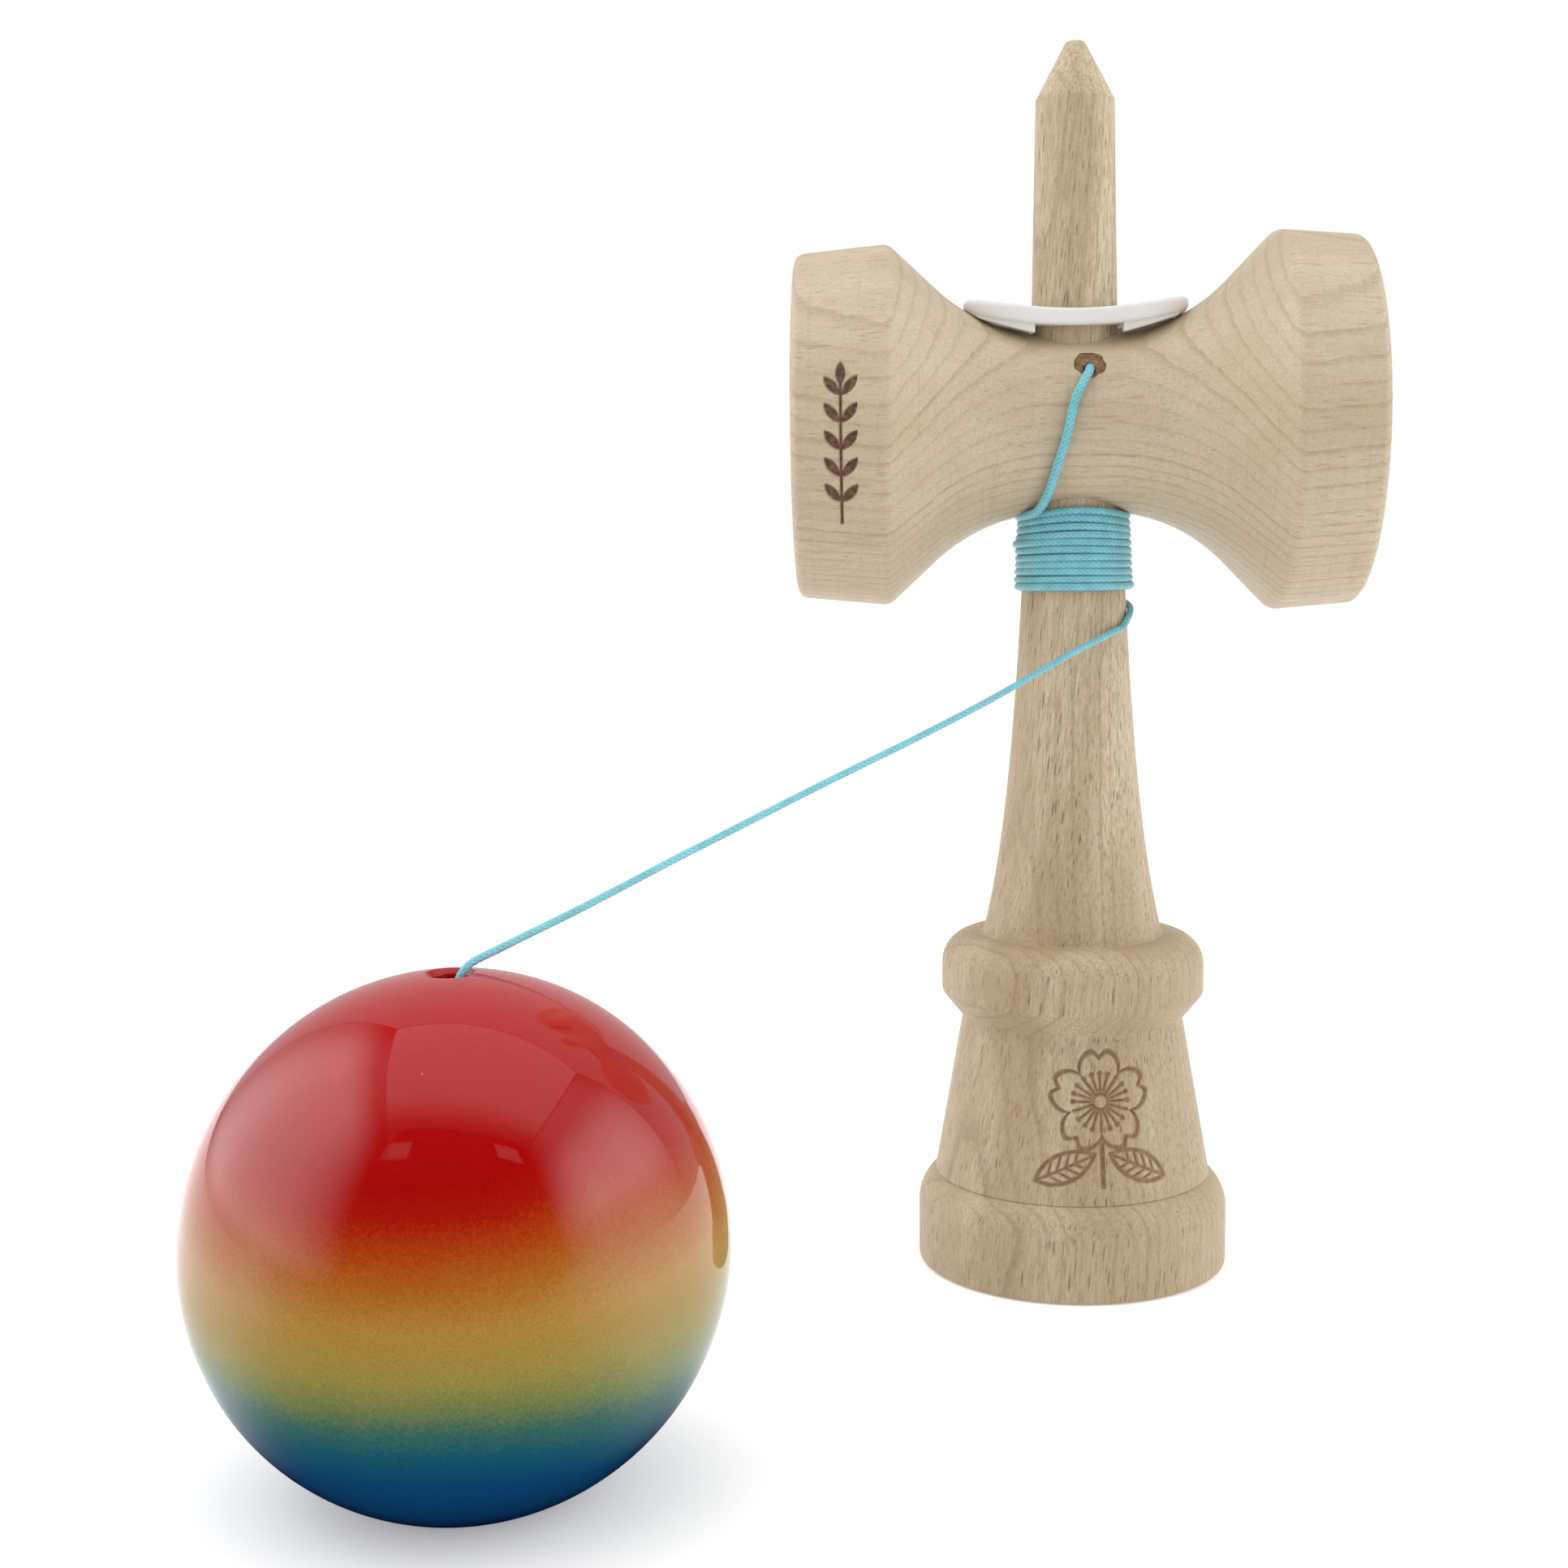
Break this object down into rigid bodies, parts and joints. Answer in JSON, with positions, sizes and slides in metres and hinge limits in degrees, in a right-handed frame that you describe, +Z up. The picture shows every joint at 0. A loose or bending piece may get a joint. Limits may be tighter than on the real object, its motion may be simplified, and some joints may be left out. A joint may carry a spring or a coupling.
{
  "type": "cup and ball toy",
  "caption": "Turned beech handle with a spike, a cross-piece of two cups and a base cup, and a lacquered ball with a hole, tied on by a string wound round the handle.",
  "frame": {"origin": "centre of the base rim that the handle stands on, at the table", "axes": "+Z up along the handle to its spike, +X towards the big cup, -Y towards the side that the string hole faces"},
  "size_m": [0.1409, 0.1336, 0.1686],
  "materials": {
    "handle_beech": "bare turned beech, fine upright grain",
    "cups_beech": "bare turned beech, pale, grain along the cups' axis",
    "ball_lacquer": "gloss lacquer, sprayed from red through gold to blue",
    "clip_plastic": "satin white moulding",
    "bead_wood": "small varnished bead",
    "string_braid": "fine round braid"
  },
  "bodies": {
    "ken": {"ken_handle": "handle_beech", "string_winding": "string_braid", "string_turn": "string_braid", "string_lead": "string_braid"},
    "cross_cups": {"cross_cups": "cups_beech", "stopper_knot": "string_braid"},
    "clip": {"saddle_clip": "clip_plastic"},
    "string_link": {"string_link": "string_braid"},
    "string_span": {"string_span": "string_braid", "ball_bead": "bead_wood", "bead_knot": "string_braid"},
    "ball": {"ball": "ball_lacquer"}
  },
  "joints": [
    {"name": "cups_pull_off", "type": "slide", "parent": "ken", "child": "cross_cups", "axis": [0, 0, 1], "range_m": [0, 0.066], "deforming": ["string_lead"]},
    {"name": "clip_lift_off", "type": "slide", "parent": "cross_cups", "child": "clip", "axis": [0, 0, 1], "range_m": [0, 0.042]},
    {"name": "string_swing", "type": "hinge", "parent": "ken", "child": "string_link", "pos_m": [0.0051, -0.0066, 0.0896], "axis": [0, 0, 1], "range_deg": [0, 90], "deforming": ["string_link"]},
    {"name": "ball_lift", "type": "hinge", "parent": "string_link", "child": "string_span", "pos_m": [-0.0036, -0.0148, 0.0859], "axis": [-0.6816, 0.7317, 0], "range_deg": [0, 85]},
    {"name": "ball_spin", "type": "hinge", "parent": "string_span", "child": "ball", "pos_m": [-0.0727, -0.0781, 0.0276], "axis": [0, 0, 1], "continuous": true}
  ]
}
